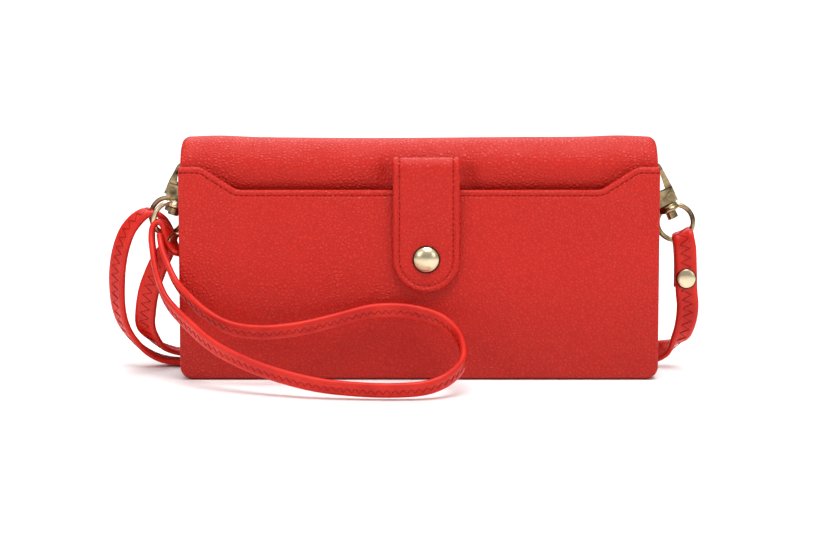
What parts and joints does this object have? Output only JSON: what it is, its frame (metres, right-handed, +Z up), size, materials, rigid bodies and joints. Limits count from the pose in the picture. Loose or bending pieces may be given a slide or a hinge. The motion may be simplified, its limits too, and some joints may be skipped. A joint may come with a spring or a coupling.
{
  "type": "wristlet wallet",
  "caption": "Slim leather wallet with snap-tab phone pocket, back flap, card slots, zipped coin pocket, wrist strap and detachable crossbody strap.",
  "frame": {"origin": "middle of the base, on the surface that the wallet stands on", "axes": "+X along the wallet's length, to the right of someone facing the phone pocket; -Y out of the phone pocket; +Z up"},
  "size_m": [0.2484, 0.1294, 0.1007],
  "materials": {
    "pebbled_leather": "pebbled grain, satin",
    "strap_leather": "folded-edge strap leather with zigzag stitching",
    "lining": "woven lining",
    "antique_brass": "antiqued, polished on the high spots",
    "zip_brass": "satin",
    "magnet": "plated"
  },
  "bodies": {
    "root": {"body_shell": "pebbled_leather", "front_panel": "pebbled_leather", "gusset_left": "pebbled_leather", "gusset_right": "pebbled_leather", "tab_root": "pebbled_leather", "ring_loop_left": "pebbled_leather", "ring_loop_right": "pebbled_leather", "crossbody_hank": "strap_leather", "crossbody_strap_end": "strap_leather", "crossbody_strap_left": "strap_leather", "crossbody_strap_link": "strap_leather", "crossbody_strap_return": "strap_leather", "crossbody_strap_right": "strap_leather", "card_backing": "lining", "card_leaf_lower": "lining", "card_leaf_upper": "lining", "coin_leaf_back": "lining", "coin_leaf_front": "lining", "zip_tape_back": "lining", "zip_tape_front": "lining", "crossbody_rivet": "antique_brass", "d_ring_left": "antique_brass", "d_ring_right": "antique_brass", "eye_left": "antique_brass", "eye_right": "antique_brass", "gate_pin_wrist": "antique_brass", "hook_wrist": "antique_brass", "slide_buckle": "antique_brass", "snap_stud": "antique_brass", "zip_chain": "zip_brass", "body_magnet": "magnet"},
    "flap": {"back_flap": "pebbled_leather", "flap_magnet": "magnet"},
    "tab": {"closure_tab": "pebbled_leather", "snap_cap": "antique_brass", "snap_socket": "antique_brass"},
    "slider": {"zip_slider": "zip_brass"},
    "pull": {"zip_pull": "zip_brass"},
    "right_hook": {"hook_right": "antique_brass", "gate_pin_right": "antique_brass"},
    "right_gate": {"gate_right": "antique_brass"},
    "left_hook": {"hook_left": "antique_brass", "gate_pin_left": "antique_brass"},
    "left_gate": {"gate_left": "antique_brass"},
    "wristlet": {"eye_wrist": "antique_brass", "wrist_strap": "strap_leather", "wrist_rivet": "antique_brass"},
    "wristlet_gate": {"gate_wrist": "antique_brass"}
  },
  "joints": [
    {"name": "flap_hinge", "type": "hinge", "parent": "root", "child": "flap", "pos_m": [0, -0.0008, 0.1001], "axis": [1, 0, 0], "range_deg": [0, 180]},
    {"name": "tab_hinge", "type": "hinge", "parent": "root", "child": "tab", "pos_m": [0.003, -0.0143, 0.0898], "axis": [-1, 0, 0], "range_deg": [0, 100]},
    {"name": "zip_slide", "type": "slide", "parent": "root", "child": "slider", "axis": [-1, 0, 0], "range_m": [0, 0.14]},
    {"name": "pull_hinge", "type": "hinge", "parent": "slider", "child": "pull", "pos_m": [0.0715, 0.0078, 0.0787], "axis": [0, 1, 0], "range_deg": [0, 160]},
    {"name": "right_clasp_swivel", "type": "hinge", "parent": "root", "child": "right_hook", "pos_m": [0.0985, 0.0065, 0.0861], "axis": [-0.4226, 0, 0.9063], "range_deg": [-10, 10]},
    {"name": "right_gate_hinge", "type": "hinge", "parent": "right_hook", "child": "right_gate", "pos_m": [0.10661, 0.0065, 0.07604], "axis": [0, -1, 0], "range_deg": [0, 24], "stiffness_Nm_per_rad": 0.002},
    {"name": "left_clasp_swivel", "type": "hinge", "parent": "root", "child": "left_hook", "pos_m": [-0.0985, 0.0065, 0.0861], "axis": [0.3971, 0, 0.9178], "range_deg": [-10, 0]},
    {"name": "left_gate_hinge", "type": "hinge", "parent": "left_hook", "child": "left_gate", "pos_m": [-0.10494, 0.0065, 0.07902], "axis": [0, 1, 0], "range_deg": [0, 24], "stiffness_Nm_per_rad": 0.002},
    {"name": "wristlet_swivel", "type": "hinge", "parent": "root", "child": "wristlet", "pos_m": [-0.0985, 0.0002, 0.0861], "axis": [0.2924, 0, 0.9563], "range_deg": [-20, 0]},
    {"name": "wristlet_gate_hinge", "type": "hinge", "parent": "root", "child": "wristlet_gate", "pos_m": [-0.10411, 0.0002, 0.07835], "axis": [0, 1, 0], "range_deg": [0, 24], "stiffness_Nm_per_rad": 0.002}
  ]
}
